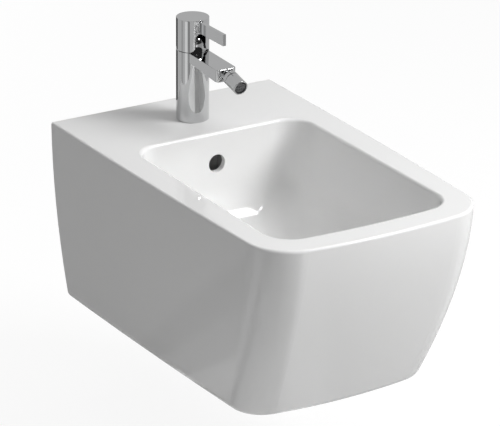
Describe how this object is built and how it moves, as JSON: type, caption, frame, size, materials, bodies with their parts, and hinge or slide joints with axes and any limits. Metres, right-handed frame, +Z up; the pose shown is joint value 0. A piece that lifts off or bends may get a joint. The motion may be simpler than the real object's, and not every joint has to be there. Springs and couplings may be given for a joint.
{
  "type": "wall-hung bidet",
  "caption": "Wall-hung bidet: hollow glazed body with a rounded rectangular basin, lever tap with swivelling nozzle, push-open waste and bottle trap.",
  "frame": {"origin": "midpoint between the two wall fixing holes, in the plane of the back face against the wall", "axes": "+Y into the wall, +Z up, +X to the right seen from the front; the basin projects along -Y"},
  "size_m": [0.35, 0.6048, 0.4395],
  "materials": {
    "ceramic": "glossy white glaze",
    "nylon_white": "moulded nylon",
    "steel_zinc": "zinc plated",
    "chrome": "polished chrome plate",
    "rubber_black": "black rubber",
    "cartridge_plastic": "black moulding",
    "disc_ceramic": "lapped",
    "carrier_plastic": "black moulding",
    "brass": "turned",
    "index": "grey cap",
    "slide_plastic": "slide ring",
    "aerator_plastic": "grey moulding",
    "seal_pale": "pale rubber",
    "waste_plastic": "black moulding",
    "spring_steel": "spring wire",
    "trap_plastic": "white moulding"
  },
  "bodies": {
    "root": {"ceramic_body": "ceramic", "ceramic_basin": "ceramic", "wall_sleeves": "nylon_white", "wall_washers": "steel_zinc", "wall_nuts": "steel_zinc", "clamp_stud": "steel_zinc", "clamp_washer": "steel_zinc", "clamp_nut": "steel_zinc", "tap_body": "chrome", "cartridge_dome": "chrome", "ball_stem": "chrome", "tap_base_seal": "rubber_black", "clamp_rubber": "rubber_black", "cone_seal": "rubber_black", "cartridge_housing": "cartridge_plastic", "fixed_disc": "disc_ceramic", "cartridge_nut": "brass", "waste_tube": "brass", "waste_seal": "seal_pale", "trap_seal": "seal_pale", "outlet_seal": "seal_pale", "waste_nut": "waste_plastic", "click_housing": "waste_plastic", "plug_spring": "spring_steel", "dip_tube": "trap_plastic", "trap_nut": "trap_plastic", "trap_head": "trap_plastic", "trap_cup": "trap_plastic", "outlet_pipe": "trap_plastic", "outlet_nut": "trap_plastic"},
    "swivel": {"cartridge_carrier": "carrier_plastic", "lift_pin": "steel_zinc"},
    "handle": {"tap_handle": "chrome", "cartridge_stem": "brass", "handle_grub": "steel_zinc", "index_plug": "index"},
    "disc": {"moving_disc": "disc_ceramic"},
    "ball_ring": {"ball_seat": "slide_plastic"},
    "nozzle": {"nozzle_housing": "chrome", "nozzle_seal": "rubber_black", "aerator": "aerator_plastic"},
    "plug": {"plug_cap": "chrome", "plug_seal": "rubber_black", "plug_stem": "waste_plastic"}
  },
  "joints": [
    {"name": "handle_swivel", "type": "hinge", "parent": "root", "child": "swivel", "pos_m": [0, -0.081, 0.187], "axis": [0, 0, 1], "range_deg": [-45, 45]},
    {"name": "handle_lift", "type": "hinge", "parent": "swivel", "child": "handle", "pos_m": [0, -0.081, 0.187], "axis": [-1, 0, 0], "range_deg": [0, 20]},
    {"name": "disc_slide", "type": "slide", "parent": "swivel", "child": "disc", "axis": [0, -1, 0], "range_m": [0, 0.0057]},
    {"name": "nozzle_yaw", "type": "hinge", "parent": "root", "child": "ball_ring", "pos_m": [0, -0.18182, 0.16861], "axis": [0, 0, 1], "range_deg": [-15, 15]},
    {"name": "nozzle_pitch", "type": "hinge", "parent": "ball_ring", "child": "nozzle", "pos_m": [0, -0.18182, 0.16861], "axis": [-1, 0, 0], "range_deg": [-15, 15]},
    {"name": "plug_press", "type": "slide", "parent": "root", "child": "plug", "axis": [0, 0, -1], "range_m": [0, 0.007], "deforming": ["plug_spring"]}
  ],
  "couplings": [
    {"joint": "disc_slide", "follows": "handle_lift", "m_per_rad": 0.016}
  ]
}
